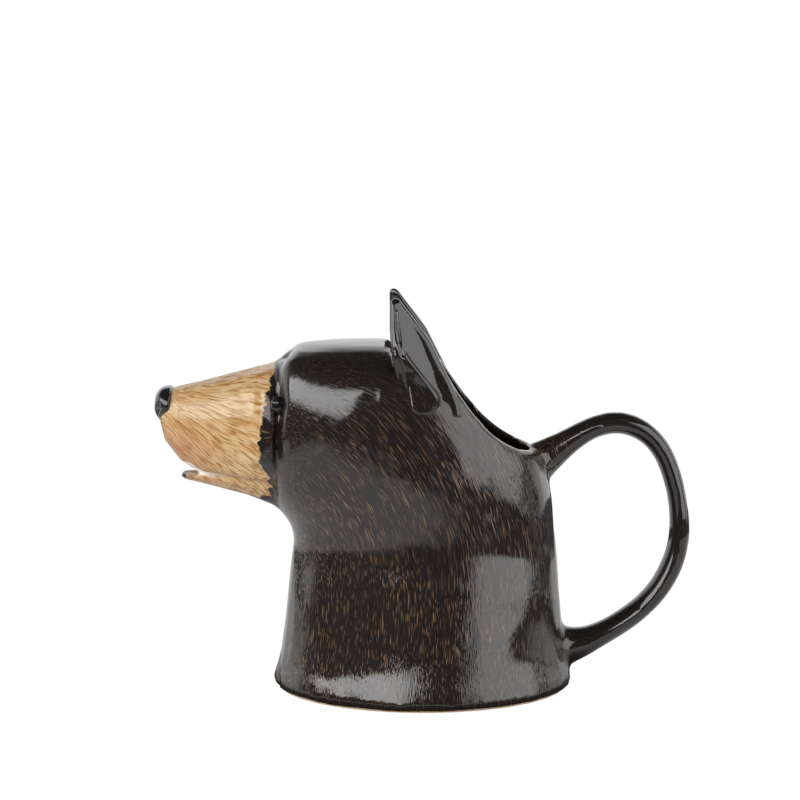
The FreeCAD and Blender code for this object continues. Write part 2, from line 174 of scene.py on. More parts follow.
# Studio
# A dark room with a white sweep behind the table, which edges the glaze with light. One wide
# soft box stands low at the front left and a taller one at the right, beside the handle.
ROOM_LIGHT = 0.30
BACKDROP_LIGHT = 1.0
SWEEP_LIGHT, DARK_LIGHT = 0.85, 0.025
SWEEP_BACK = (0.12, 0.4)
SWEEP_HEIGHT = (0.62, 0.30)
JUG_MIDDLE = Vector((0.0, 0.0, 0.08))
LAMP_DISTANCE = 1.15
# Turn from the camera's side to the handle and rise, then breadth and height as seen from the
# jug, in degrees; brightness 1 is white paper
SOFT_BOXES = (("left_box", -52, 22.5, 82, 29, 3.8), ("right_box", 66, 23, 62, 52, 1.9))

world = bpy.data.worlds.new("studio")
bpy.context.scene.world = world
tree = Tree(world)
rays = tree.add("ShaderNodeLightPath")
heading = tree.add("ShaderNodeSeparateXYZ",
                   i0=tree.add("ShaderNodeTexCoord").outputs["Generated"])
sweep = tree.times(tree.ramp(heading.outputs["Y"], SWEEP_BACK),
                   tree.ramp(heading.outputs["Z"], SWEEP_HEIGHT))
room = tree.add("ShaderNodeBackground", Color=WHITE, Strength=ROOM_LIGHT)
mirrored = tree.add("ShaderNodeBackground", Color=WHITE,
                    Strength=tree.math("MULTIPLY_ADD", sweep, SWEEP_LIGHT, DARK_LIGHT))
white = tree.add("ShaderNodeBackground", Color=WHITE, Strength=BACKDROP_LIGHT)
reflected = tree.add("ShaderNodeMixShader", i0=rays.outputs["Is Glossy Ray"], i1=room, i2=mirrored)
backdrop = tree.add("ShaderNodeMixShader", i0=rays.outputs["Is Camera Ray"], i1=reflected, i2=white)
tree.add("ShaderNodeOutputWorld", Surface=backdrop)

for name, azimuth, elevation, wide, high, brightness in SOFT_BOXES:
    turn, rise = math.radians(azimuth), math.radians(elevation)
    toward = Vector((math.sin(turn) * math.cos(rise), -math.cos(turn) * math.cos(rise),
                     math.sin(rise)))
    lamp = bpy.data.lights.new(name, "AREA")
    lamp.shape = "RECTANGLE"
    lamp.size = 2 * LAMP_DISTANCE * math.tan(math.radians(wide / 2))
    lamp.size_y = 2 * LAMP_DISTANCE * math.tan(math.radians(high / 2))
    lamp.energy = brightness * math.pi * lamp.size * lamp.size_y
    box = add_object(name, lamp)
    box.location = JUG_MIDDLE + toward * LAMP_DISTANCE
    box.rotation_mode = "QUATERNION"
    box.rotation_quaternion = (-toward).to_track_quat("-Z", "Y")

# Head and neck
# Earthenware cast in a plaster mould. Muzzle, lower lip and handle are luted on with slip and
# sponged over, so the joints are soft fillets under one glaze: the frame's solids are fused here
# into one skin, which is cut again where the muzzle and the handle leave.
BODY_VOXEL, BODY_ROUNDS = 1.2, 8
WELD = 0.002
JOINT_PLANE = -57.3
JOINT_SINK = 2.0
LUTED_ON = ("muzzle", "lower_jaw")
SHELL = ("head_shell",) + LUTED_ON


def smooth_step(value, low, high):
    share = min(max((value - low) / (high - low), 0.0), 1.0)
    return share * share * (3 - 2 * share)


def fade(value, low, high):
    """1 up to low, 0 from high on."""
    return smooth_step(-value, -high, -low)


def hill(value, middle, half):
    share = abs(value - middle) / half
    return (1 - share * share) ** 2 if share < 1 else 0.0


def sponge(shape, verts, rounds):
    for step in range(rounds):
        bmesh.ops.smooth_vert(shape, verts=verts, factor=0.5, use_axis_x=True, use_axis_y=True,
                              use_axis_z=True)


def final_mesh(made):
    """Takes the finished mesh off an object, which is removed."""
    bpy.context.view_layer.update()
    skin = bpy.data.meshes.new_from_object(
        made.evaluated_get(bpy.context.evaluated_depsgraph_get()))
    bpy.data.objects.remove(made)
    shape = bmesh.new()
    shape.from_mesh(skin)
    bpy.data.meshes.remove(skin)
    return shape


def merged_copy(node):
    """Copy of a solid of the frame; a hidden joint face is pushed into its neighbour."""
    part = bmesh.new()
    part.from_mesh(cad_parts[node].data)
    bmesh.ops.remove_doubles(part, verts=part.verts, dist=WELD * MM)
    if node in LUTED_ON:
        for vertex in part.verts:
            if vertex.co.x > JOINT_PLANE * MM:
                vertex.co.x += JOINT_SINK * MM
    return part


def fuse(name, parts, voxel, rounds):
    """Makes one smooth skin round all the parts."""
    shape = bmesh.new()
    for part in parts:
        copy = bpy.data.meshes.new(name)
        part.to_mesh(copy)
        part.free()
        shape.from_mesh(copy)
        bpy.data.meshes.remove(copy)
    data = bpy.data.meshes.new(name)
    shape.to_mesh(data)
    shape.free()
    made = add_object(name, data)
    remesh = made.modifiers.new("clay", "REMESH")
    remesh.mode = "VOXEL"
    remesh.voxel_size = voxel * MM
    result = final_mesh(made)
    sponge(result, result.verts, rounds)
    return result


# Middle line of the strap: how far out, how high, half its thickness
STRAP_LINE = (
    (46.0, 88.8, 8.2), (53.2, 93.8, 5.8), (60.0, 98.4, 4.75), (66.7, 102.2, 4.4),
    (74.2, 104.5, 4.3), (82.2, 103.8, 4.15), (90.8, 98.8, 3.95), (97.0, 90.0, 3.85),
    (101.1, 75.6, 3.85), (102.4, 62.0, 4.0), (101.0, 50.8, 4.2), (94.6, 37.4, 4.3),
    (85.4, 28.2, 4.4), (76.2, 22.2, 4.4), (67.6, 17.5, 4.95), (60.0, 14.9, 6.6),
    (52.5, 14.5, 9.5),
)
STRAP_ROUNDNESS = 8
ROOT_BREADTH, STRAP_BROADER = 1.05, 0.62
STRAP_FREE = (46, 72)


def strap():
    """The strap of the handle, bent along its middle line and broader than it is thick."""
    line = bpy.data.curves.new("strap_line", "CURVE")
    line.dimensions = "3D"
    line.bevel_depth = MM
    line.bevel_resolution = STRAP_ROUNDNESS
    line.use_fill_caps = True
    spline = line.splines.new("NURBS")
    spline.points.add(len(STRAP_LINE) - 1)
    for point, (x, z, half) in zip(spline.points, STRAP_LINE):
        point.co = (x * MM, 0, z * MM, 1)
        point.radius = half
    spline.order_u = 4
    spline.use_endpoint_u = True
    shape = final_mesh(add_object("strap", line))
    bpy.data.curves.remove(line)
    for vertex in shape.verts:
        free = smooth_step(vertex.co.x / MM, *STRAP_FREE)
        vertex.co.y *= ROOT_BREADTH + STRAP_BROADER * free
    return shape


body = fuse("body", [merged_copy(node) for node in SHELL] + [strap()], BODY_VOXEL, BODY_ROUNDS)

# The muzzle is the finest modelling on the jug, so its skin is made once more, closer.
FRONT_VOXEL, FRONT_ROUNDS = 0.6, 14
FRONT_END = -48
front = fuse("front", [merged_copy(node) for node in SHELL], FRONT_VOXEL, FRONT_ROUNDS)
behind = [face for face in front.faces if face.calc_center_median().x > FRONT_END * MM]
bmesh.ops.delete(front, geom=behind, context="FACES")

# Places on the photograph, as column and row, seen in the plane of symmetry
PHOTO_MIDDLE = 400
PIXEL = 0.394


def from_pixels(pixels):
    return [((column - PHOTO_MIDDLE) * PIXEL + TARGET_X, TARGET_Z + (PHOTO_MIDDLE - row) * PIXEL)
            for column, row in pixels]


def line_distance(points, x, z):
    """Distance to a line of points, positive on its left as it runs, and how far along it."""
    best, signed, along = math.inf, math.inf, 0.0
    for step, ((ax, az), (bx, bz)) in enumerate(zip(points, points[1:])):
        run_x, run_z = bx - ax, bz - az
        share = ((x - ax) * run_x + (z - az) * run_z) / (run_x ** 2 + run_z ** 2)
        share = min(max(share, 0.0), 1.0)
        gap = math.hypot(x - ax - share * run_x, z - az - share * run_z)
        if gap < best:
            best = gap
            signed = gap if run_x * (z - az) - run_z * (x - ax) > 0 else -gap
            along = (step + share) / (len(points) - 1)
    return signed, along


# The root of the muzzle flares out to the cheeks. A fold runs down the face from the brow, past
# the eye, to the cheek, and the parted lips meet in a groove.
FACE_PLANE = -57.0
CHEEK_FLARE = 0.36
CHEEK_REACH = (-78, -56.5)
CHEEK_RISE = (86, 94)
ROOT_BAND, ROOT_BOTTOM = (-62, -50), 66
MODELLED = -44
MODELLED_OUT = 6
FACE_FOLD = from_pixels(((296, 343), (287, 351), (282, 362), (283, 376), (283, 396), (281, 415),
                         (279, 430), (277, 443)))
FOLD_DEPTH, FOLD_HALF = 0.8, 1.5
RIDGE_HEIGHT, RIDGE_PLACE, RIDGE_HALF = 0.5, 3.4, 3.0
FOLD_ENDS = (0.15, 0.8)
LIP_LINE = from_pixels(((183, 462), (190, 465), (197, 468), (207, 471), (220, 472.8), (235, 474),
                        (252, 474.5)))
LIP_DEPTH, LIP_HALF = 1.3, 1.3
LIP_END = 0.75
LIP_FRONT = -95
SIDEWAYS = (0.1, 0.4)


def model_face(shape, rounds):
    for vertex in shape.verts:
        x, y, z = vertex.co / MM
        if CHEEK_REACH[0] < x < FACE_PLANE and z > CHEEK_RISE[0]:
            flare = smooth_step(x, *CHEEK_REACH) ** 2 * smooth_step(z, *CHEEK_RISE)
            vertex.co.y *= 1 + CHEEK_FLARE * flare
    root = [vertex for vertex in shape.verts
            if ROOT_BAND[0] < vertex.co.x / MM < ROOT_BAND[1] and vertex.co.z / MM > ROOT_BOTTOM]
    sponge(shape, root, rounds)
    shape.normal_update()
    for vertex in shape.verts:
        x, y, z = vertex.co / MM
        if x < MODELLED and abs(y) > MODELLED_OUT:
            fold, along = line_distance(FACE_FOLD, x, z)
            ends = smooth_step(along, 0.0, FOLD_ENDS[0]) * fade(along, FOLD_ENDS[1], 1.0)
            push = ends * (RIDGE_HEIGHT * hill(fold, RIDGE_PLACE, RIDGE_HALF)
                           - FOLD_DEPTH * hill(fold, 0, FOLD_HALF))
            lip, along = line_distance(LIP_LINE, x, z)
            seam = fade(along, LIP_END, 1.0) if x > LIP_FRONT else 0.0
            outward = smooth_step(vertex.normal.y * math.copysign(1, y), *SIDEWAYS)
            push -= LIP_DEPTH * hill(lip, 0, LIP_HALF) * seam * outward
            vertex.co += vertex.normal * (push * MM)


# The neck, and the brow with the side of the face, as front and back and as bottom and top
SPONGED = (((-50, 44), (5, 88)), ((-54, -17), (60, 134)))
SPONGED_ROUNDS, BODY_FACE_ROUNDS, FRONT_FACE_ROUNDS = 36, 24, 96


def sponged(place):
    x, z = place.x / MM, place.z / MM
    return any(ahead < x < back and low < z < high
               for (ahead, back), (low, high) in SPONGED)


sponge(body, [vertex for vertex in body.verts if sponged(vertex.co)], SPONGED_ROUNDS)
model_face(body, BODY_FACE_ROUNDS)
model_face(front, FRONT_FACE_ROUNDS)

# The glaze runs down over the hem and covers most of the standing ring.
GLAZE_RUN = 1.25
RUN_HEIGHTS = (2, 8)
for vertex in body.verts:
    vertex.co.z -= GLAZE_RUN * MM * fade(vertex.co.z / MM, *RUN_HEIGHTS)

# Hand finishing leaves the wall slightly uneven, which breaks up the reflections.
WAVES = ((19.0, 0.26), (8.0, 0.08))


def ripple(shape):
    shape.normal_update()
    for vertex in shape.verts:
        rise = sum(height * noise.noise(vertex.co / MM / length) for length, height in WAVES)
        vertex.co += vertex.normal * (rise * MM)


ripple(body)
ripple(front)

MUZZLE_CUT = -56.2
HANDLE_CUT = 62.0
CUT_TOLERANCE = 0.0001


def cut_off(shape, x, side):
    """Takes away what lies past x on one side and closes the cut with a flat face."""
    everything = shape.verts[:] + shape.edges[:] + shape.faces[:]
    bmesh.ops.bisect_plane(shape, geom=everything, dist=CUT_TOLERANCE * MM,
                           plane_co=(x * MM, 0, 0), plane_no=(side, 0, 0), clear_outer=True)
    rim = [edge for edge in shape.edges if edge.is_boundary]
    bmesh.ops.triangle_fill(shape, edges=rim, use_beauty=True, normal=(side, 0, 0))
    for edge in rim:
        edge.smooth = False


head_skin = BVHTree.FromBMesh(body)
head_shape = body.copy()
cut_off(head_shape, MUZZLE_CUT, -1)
cut_off(head_shape, HANDLE_CUT, 1)
handle_shape = body.copy()
cut_off(handle_shape, HANDLE_CUT, -1)
body.free()
cut_off(front, MUZZLE_CUT, 1)

# The fur leaves the face, runs level over the crown, turns down and back across the cheek and
# stands upright on the neck, along circles round a hinge under the chin.
FUR_HINGE = (-90.0, 40.0)
FUR_REACH = 90.0
CROWN_START = 112.0
CROWN_SQUEEZE = 0.05
FUR_SPREAD = 0.5


def fur_on_body(x, y, z):
    """Place across the strokes, twice, and along them, all in mm."""
    over = max(z - CROWN_START, 0)
    height = z + CROWN_SQUEEZE * over * over - FUR_HINGE[1]
    out = x - FUR_HINGE[0]
    if height < 0:
        return out, y * FUR_SPREAD, -height
    return math.hypot(out, height), y * FUR_SPREAD, -FUR_REACH * math.atan2(height, out)


# Painted edge round the tan muzzle, from the brow down to the jaw and forward under the chin
TAN_EDGE = from_pixels(((284, 300), (284, 350), (279, 354), (276, 362), (276, 368), (272, 372),
                        (273, 381), (268, 388), (269, 398), (265, 404), (266, 414), (262, 420),
                        (264, 430), (261, 436), (263, 446), (262, 455), (267, 464), (272, 471),
                        (268, 475), (273, 481), (269, 485), (271, 491), (262, 492), (261, 496),
                        (254, 493), (243, 491), (236, 488), (226, 487), (222, 520), (120, 520),
                        (120, 300), (284, 300)))
TAN_END = -40
FAR_OUTSIDE = -20.0
BARE_CROWN, CROWN_HEIGHTS = 0.88, (108, 124)
BARE_FACE, FACE_DEPTHS, FACE_HEIGHTS = 0.6, (-40, -24), (76, 96)
HEM_HEIGHTS = (1, 7)
STRAP_ROOT = (52, 60)
MOUTH_TOP, MOUTH_HALF = 90, 11.5
MOUTH_EDGE = (84.3, 85.2)
INK_FRONT, INK_HEIGHTS = (-93.0, -92.6), (85.2, 85.6)


def edge_distance(x, z):
    """How far a place lies inside the tan muzzle, in mm."""
    gap = abs(line_distance(TAN_EDGE, x, z)[0])
    inside = False
    for (ax, az), (bx, bz) in zip(TAN_EDGE, TAN_EDGE[1:]):
        if (az > z) != (bz > z) and x < ax + (bx - ax) * (z - az) / (bz - az):
            inside = not inside
    return gap if inside else -gap


def bareness(x, z):
    """0 where the strokes show tan through the glaze, 1 where the glaze hides them."""
    crown = BARE_CROWN * smooth_step(z, *CROWN_HEIGHTS)
    face = BARE_FACE * fade(x, *FACE_DEPTHS) * smooth_step(z, *FACE_HEIGHTS)
    return min(max(crown, face, fade(z, *HEM_HEIGHTS), smooth_step(x, *STRAP_ROOT)), 1.0)


def mouth_white(x, y, z):
    """1 on the white glaze inside the lips."""
    if x > FACE_PLANE or z > MOUTH_TOP or abs(y) > MOUTH_HALF:
        return 0.0
    return smooth_step(z, *MOUTH_EDGE)


def face_zones(x, y, z):
    """How far inside the tan, how bare, how far white mouth and how far black lip tip."""
    inside = edge_distance(x, z) if x < TAN_END else FAR_OUTSIDE
    ink = fade(x, *INK_FRONT) * fade(z, *INK_HEIGHTS)
    return inside, bareness(x, z), mouth_white(x, y, z), ink


def dark_all_over(bare):
    return lambda x, y, z: (FAR_OUTSIDE, bare, 0.0, 0.0)


def paint(data, fur, zones):
    """Writes the direction of the fur and the painted zones on every vertex."""
    for name, kind in (("fur", "FLOAT_VECTOR"), ("zones", "FLOAT_VECTOR"), ("ink", "FLOAT")):
        data.attributes.new(name, kind, "POINT")
    fur_layer, zone_layer, ink_layer = [data.attributes[name] for name in ("fur", "zones", "ink")]
    for vertex in data.vertices:
        x, y, z = vertex.co / MM
        *zone, ink = zones(x, y, z)
        fur_layer.data[vertex.index].vector = fur(x, y, z)
        zone_layer.data[vertex.index].vector = zone
        ink_layer.data[vertex.index].value = ink


def finish_piece(name, shape, replaced, material):
    bmesh.ops.recalc_face_normals(shape, faces=shape.faces)
    for face in shape.faces:
        face.smooth = True
    data = bpy.data.meshes.new(name)
    shape.to_mesh(data)
    shape.free()
    data.materials.append(material)
    made = add_object(name, data)
    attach(made, "root")
    for node in replaced:
        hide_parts(node)
    return made


# Glaze over the engraved fur: manganese black is washed over the strokes and wiped off the
# ridges, the muzzle is sponged with cream and drawn over in iron brown, and one clear glossy
# glaze covers the whole jug.
NEAR_BLACK = (0.010, 0.0075, 0.0072, 1)
DARK_BROWN = (0.027, 0.013, 0.008, 1)
TAN_STROKE = (0.33, 0.185, 0.09, 1)
CREAM = (0.50, 0.31, 0.13, 1)
PALE_CREAM = (0.61, 0.43, 0.24, 1)
IRON_BROWN = (0.27, 0.085, 0.014, 1)
RED_BROWN = (0.34, 0.115, 0.038, 1)
MOUTH_WHITE = (0.80, 0.70, 0.62, 1)

# Breadth, length and shift of the pattern, in mm and in cells
LONG_STROKES = (0.50, 12.0, 3.1)
SHORT_STROKES = (0.38, 8.0, 8.7)
COMB = (0.42, 10.0, 5.5)
PATCHES = (16.0, 26.0, 1.3)
STROKE_PROFILE = (0.40, 0.12)
CELL_RANDOMNESS = 0.95
STREAK_DETAIL, STREAK_ROUGHNESS = 1.0, 0.55
DRIFT_SCALE, DRIFT_DETAIL = 70.0, 1.0
DRIFT_REACH, DRIFT_START = (1.4, 1.4, 2.0), (-0.7, -0.7, -1.0)


def fur_lines(tree):
    """The fur's own coordinates; a slow drift keeps the strokes from being ruled."""
    drift = tree.add("ShaderNodeVectorMath", {"operation": "MULTIPLY_ADD"},
                     i0=tree.speckle(DRIFT_SCALE, DRIFT_DETAIL).outputs["Color"],
                     i1=DRIFT_REACH, i2=DRIFT_START)
    return tree.add("ShaderNodeVectorMath", {"operation": "ADD"},
                    i0=tree.attribute("fur", "Vector"), i1=drift)


def along_fur(tree, lines, size):
    breadth, length, shift = size
    return tree.add("ShaderNodeVectorMath", {"operation": "MULTIPLY_ADD"}, i0=lines,
                    i1=(1 / breadth, 1 / breadth, 1 / length), i2=(shift, shift, shift))


def streaks(tree, lines, size):
    """Noise drawn out along the fur."""
    return tree.add("ShaderNodeTexNoise", Vector=along_fur(tree, lines, size), Scale=1.0,
                    Detail=STREAK_DETAIL, Roughness=STREAK_ROUGHNESS).outputs["Fac"]


def strokes(tree, lines, size):
    """Single strokes of the tool: a mask, and a tone for each."""
    cells = tree.add("ShaderNodeTexVoronoi", {"feature": "F1"},
                     Vector=along_fur(tree, lines, size), Scale=1.0, Randomness=CELL_RANDOMNESS)
    tone = tree.add("ShaderNodeSeparateColor", i0=cells.outputs["Color"])
    return tree.ramp(cells.outputs["Distance"], STROKE_PROFILE), tone.outputs[0]


LONG_TONES, SHORT_TONES, SHORT_SHARE = (0.20, 1.10), (0.20, 1.05), 0.75
STROKES_HIDDEN, GROUND_HIDDEN = 0.86, 0.8
PATCH_TONES, PATCH_LIGHTER, PATCH_LEAST = (0.32, 0.62), 0.55, 0.45
GROUND_TONES = (0.46, 0.74)


def dark_side(tree, lines, comb, long_marks, short_marks, bare):
    """Tan shows in the strokes, less where the zone is bare or the wash lay thick."""
    long_light = tree.times(long_marks[0], tree.ramp(long_marks[1], LONG_TONES))
    short_light = tree.times(short_marks[0], tree.ramp(short_marks[1], SHORT_TONES))
    light = tree.math("MAXIMUM", long_light, tree.times(short_light, SHORT_SHARE))
    light = tree.times(light, tree.less(bare, STROKES_HIDDEN))
    patch = tree.ramp(streaks(tree, lines, PATCHES), PATCH_TONES)
    light = tree.times(light, tree.math("MULTIPLY_ADD", patch, PATCH_LIGHTER, PATCH_LEAST))
    brown = tree.times(tree.ramp(comb, GROUND_TONES), tree.less(bare, GROUND_HIDDEN))
    return tree.mix(light, tree.mix(brown, NEAR_BLACK, DARK_BROWN), TAN_STROKE)


LONG_BROWNS, SHORT_BROWNS, BROWN_SHARE = (0.1, 0.8), (0.2, 0.9), 0.85
CREAM_TONES = (0.36, 0.60)
COMB_TONES, COMB_SHARE = (0.52, 0.70), 0.55
LIPS_BACK, LIPS_HEIGHT, LIPS_SHARE = (-0.074, -0.098), (0.109, 0.094), 0.55


def tan_side(tree, comb, long_marks, short_marks):
    """Cream with iron brown strokes, redder round the lips."""
    place = tree.add("ShaderNodeSeparateXYZ", i0=tree.place())
    lips = tree.times(tree.ramp(place.outputs["X"], LIPS_BACK),
                      tree.ramp(place.outputs["Z"], LIPS_HEIGHT))
    drawn = tree.math("MAXIMUM", tree.times(long_marks[0], tree.ramp(long_marks[1], LONG_BROWNS)),
                      tree.times(short_marks[0], tree.ramp(short_marks[1], SHORT_BROWNS)))
    cream = tree.mix(tree.ramp(comb, CREAM_TONES), PALE_CREAM, CREAM)
    cream = tree.mix(tree.times(tree.ramp(comb, COMB_TONES), COMB_SHARE), cream, IRON_BROWN)
    cream = tree.mix(tree.times(lips, LIPS_SHARE), cream, RED_BROWN)
    return tree.mix(tree.times(drawn, BROWN_SHARE), cream, tree.mix(lips, IRON_BROWN, RED_BROWN))


RAGGED_BORDER, BORDER_BLUR = 3.0, (-0.25, 0.25)
LONG_RELIEF, SHORT_RELIEF, RELIEF_HIDDEN = -0.6, -0.3, 0.85
RELIEF_DEPTH = 0.0003
CLAY_BUMP, GLAZE_BUMP = 0.6, 0.16
CLAY_ROUGHNESS, CLAY_SHEEN = 0.5, 0.08
GLAZE_ROUGHNESS, GLAZE_DENSITY = 0.05, 1.7


def fur_glaze(name, thickness):
    glaze = bpy.data.materials.new(name)
    tree = Tree(glaze)
    zones = tree.add("ShaderNodeSeparateXYZ", i0=tree.attribute("zones", "Vector"))
    inside, bare, white_mouth = zones.outputs
    lines = fur_lines(tree)
    long_marks, short_marks = strokes(tree, lines, LONG_STROKES), strokes(tree, lines, SHORT_STROKES)
    comb = streaks(tree, lines, COMB)
    ragged = tree.math("MULTIPLY_ADD", comb, RAGGED_BORDER, -RAGGED_BORDER / 2)
    tan_zone = tree.ramp(tree.math("ADD", inside, ragged), BORDER_BLUR)
    painted = tree.mix(tan_zone, dark_side(tree, lines, comb, long_marks, short_marks, bare),
                       tan_side(tree, comb, long_marks, short_marks))
    painted = tree.mix(white_mouth, painted, MOUTH_WHITE)
    painted = tree.mix(tree.attribute("ink", "Fac"), painted, NEAR_BLACK)
    relief = tree.math("ADD", tree.times(long_marks[0], LONG_RELIEF),
                       tree.math("ADD", tree.times(short_marks[0], SHORT_RELIEF), comb))
    relief = tree.times(relief, tree.less(bare, RELIEF_HIDDEN))
    clay_bump = tree.add("ShaderNodeBump", Strength=CLAY_BUMP, Distance=RELIEF_DEPTH, Height=relief)
    coat_bump = tree.add("ShaderNodeBump", Strength=GLAZE_BUMP, Distance=RELIEF_DEPTH, Height=relief)
    shader = tree.add("ShaderNodeBsdfPrincipled", Base_Color=painted, Roughness=CLAY_ROUGHNESS,
                      Specular_IOR_Level=CLAY_SHEEN, Coat_Weight=thickness,
                      Coat_Roughness=GLAZE_ROUGHNESS, Coat_IOR=GLAZE_DENSITY,
                      Normal=clay_bump, Coat_Normal=coat_bump)
    tree.add("ShaderNodeOutputMaterial", Surface=shader)
    return glaze


thick_glaze = fur_glaze("glaze_over_fur", 1.0)
head = finish_piece("head_glazed", head_shape, ("head_shell",), thick_glaze)
paint(head.data, fur_on_body, face_zones)

# Handle
# A pulled strap of clay, luted to the back of the rim and to the lower neck. Its strokes lie
# along the strap, and the wash was left thick on it, so hardly any tan shows.
LOOP_MIDDLE = (72.0, 62.0)
LOOP_SQUEEZE = 0.85
LOOP_REACH = 35
HANDLE_BARE = 1.0


def fur_on_handle(x, y, z):
    out, up = x - LOOP_MIDDLE[0], (z - LOOP_MIDDLE[1]) * LOOP_SQUEEZE
    return math.hypot(out, up), y, LOOP_REACH * math.atan2(up, out)


handle = finish_piece("handle_glazed", handle_shape, ("handle",), thick_glaze)
paint(handle.data, fur_on_handle, dark_all_over(HANDLE_BARE))

# Muzzle and lower lip
# Hollow snout and trough-shaped lip, luted to the face and modelled by hand. The strokes run
# level along the bridge and slope down and back below it; the glaze is thinner over the cream.
MUZZLE_MIDDLE = -80.0
LIP_SLOPE, SLOPE_GAIN = -1.0, 1.25
SLOPE_HEIGHTS = (84, 134)
SLOPE_STEPS = 8
MUZZLE_HALF, MUZZLE_TAPER, CHEEK_SPREAD = 24.5, 0.3, 9
MUZZLE_END = -57
ACROSS, AROUND, ALONG = 0.55, 4, 1.25
THIN_GLAZE = 0.55


def fur_on_muzzle(x, y, z):
    line = z
    for step in range(SLOPE_STEPS):
        slope = LIP_SLOPE + SLOPE_GAIN * smooth_step(line, *SLOPE_HEIGHTS)
        line = z - slope * (x - MUZZLE_MIDDLE)
    half_width = MUZZLE_HALF + MUZZLE_TAPER * (x - MUZZLE_END)
    half_width += CHEEK_SPREAD * smooth_step(x, *CHEEK_REACH) ** 2
    return line * ACROSS, y * AROUND / half_width, x * ALONG


muzzle = finish_piece("muzzle_glazed", front, ("muzzle", "lower_jaw"),
                      fur_glaze("thin_glaze_over_fur", THIN_GLAZE))
paint(muzzle.data, fur_on_muzzle, face_zones)

# Ears
# Leaves of rolled clay luted to the rim. The rim is rounded over; inside it the leaf lies flat,
# then climbs to a crisp crease, and in front of the crease sits a pad shaped like a drop.
EAR_PIXEL = 0.378
EAR_X, EAR_Z = -8.4, 117.1
# Up the ear: front edge and rim as columns and rows of the photograph, how far out the rim lies,
# and the place of the crease between front edge and rim
EAR_STATIONS = (
    (0.00, (406, 420), (460, 418), 41.5, 0.60),
    (0.08, (402, 407), (458, 405), 42.2, 0.60),
    (0.16, (398, 396), (454, 394), 42.4, 0.60),
    (0.24, (395, 384), (449.5, 383), 41.8, 0.57),
    (0.35, (391.5, 371), (443.5, 371.5), 40.4, 0.48),
    (0.48, (389, 356), (436, 356.5), 38.8, 0.28),
    (0.60, (388.5, 341), (428.5, 341.5), 37.5, 0.19),
    (0.72, (388.5, 328), (419, 328.5), 36.4, 0.17),
    (0.84, (388.5, 315), (409, 315.5), 35.6, 0.20),
    (0.94, (388.3, 304), (400.5, 304.5), 35.1, 0.25),
    (0.98, (389.3, 300.4), (397.5, 300.6), 34.9, 0.25),
    (1.00, (392, 298.8), (394, 298.8), 34.8, 0.25),
)
EAR_TOP_ROW = 298.8
EAR_GRID = (120, 64)
EAR_ROUNDS = 4
EAR_BARE = 0.93

# The leaf from its rim to its front edge: slopes of the flat, of the climb and past the crease
FLAT_SLOPE, CLIMB_SLOPE, FRONT_SLOPE = 0.1, 0.52, -0.2
FLAT_SHARE = 0.26
SOFT_CORNER = (-0.8, -0.4, 0.0, 0.4, 0.8)
RIM_ROUND, FRONT_ROUND = 2.4, 1.5
RIM_ROUND_SHARE, FRONT_ROUND_SHARE = 0.45, 0.3
EDGE_THICKNESS, MORE_INSIDE = 2.9, 3.6

# The foot of the leaf sinks under the skin of the head.
EAR_GROWN = (0.0, 0.36)
SEAT_LIMIT = 0.7
SEAT_DEPTH = 1.0
OUTSIDE_JUG = -80

# Pad and crease, as columns and rows of the photograph
PAD_TOP, PAD_END = (396, 345), (421, 399)
PAD_NARROW, PAD_WIDER, PAD_SWELL = 3.5, 13.5, 1.4
PAD_LOW, PAD_HIGHER = 0.5, 1.7
PAD_EDGE = (0.74, 1.08)
CREASE_LINE = ((393.5, 312), (395.5, 330), (397.5, 345), (400.5, 354))
CREASE_DEPTH, CREASE_HALF = 0.7, 2.2


def between(first, second, share):
    return [a + (b - a) * share for a, b in zip(first, second)]


def ear_station(up):
    for low, high in zip(EAR_STATIONS, EAR_STATIONS[1:]):
        if up <= high[0]:
            break
    share = (up - low[0]) / (high[0] - low[0])
    return (between(low[1], high[1], share), between(low[2], high[2], share),
            *between(low[3:], high[3:], share))


def ear_rise(from_rim, flat, climb):
    """How far the leaf stands out over its rim: flat at first, up to the crease, then down."""
    total = 0.0
    for shift in SOFT_CORNER:
        run = max(from_rim + shift, 0.0)
        total += (FLAT_SLOPE * min(run, flat) + CLIMB_SLOPE * min(max(run - flat, 0.0), climb)
                  + FRONT_SLOPE * max(run - flat - climb, 0.0))
    return total / len(SOFT_CORNER)


def rounding(gap, radius):
    """Drop of a rounded edge at a distance from it."""
    share = 1 - min(max(gap / radius, 0.0), 1.0)
    return radius * (1 - math.sqrt(1 - share * share))


def ear_pad(column, row):
    gap, along = line_distance((PAD_TOP, PAD_END), column, row)
    edge = abs(gap) / (PAD_NARROW + PAD_WIDER * along ** PAD_SWELL)
    return (PAD_LOW + PAD_HIGHER * along) * fade(edge, *PAD_EDGE)


def ear_place(column, row):
    return (column - PHOTO_MIDDLE) * EAR_PIXEL + EAR_X, EAR_Z + (PHOTO_MIDDLE - row) * EAR_PIXEL


def ear_seat(front_place, rim_place, back):
    """How far out the leaf lies when it is sunk into the skin of the head."""
    x, z = ear_place(*between(front_place, rim_place, min(back, SEAT_LIMIT)))
    hit = head_skin.ray_cast(Vector((x, OUTSIDE_JUG, z)) * MM, Vector((0, 1, 0)))[0]
    return None if hit is None else -hit.y / MM - SEAT_DEPTH


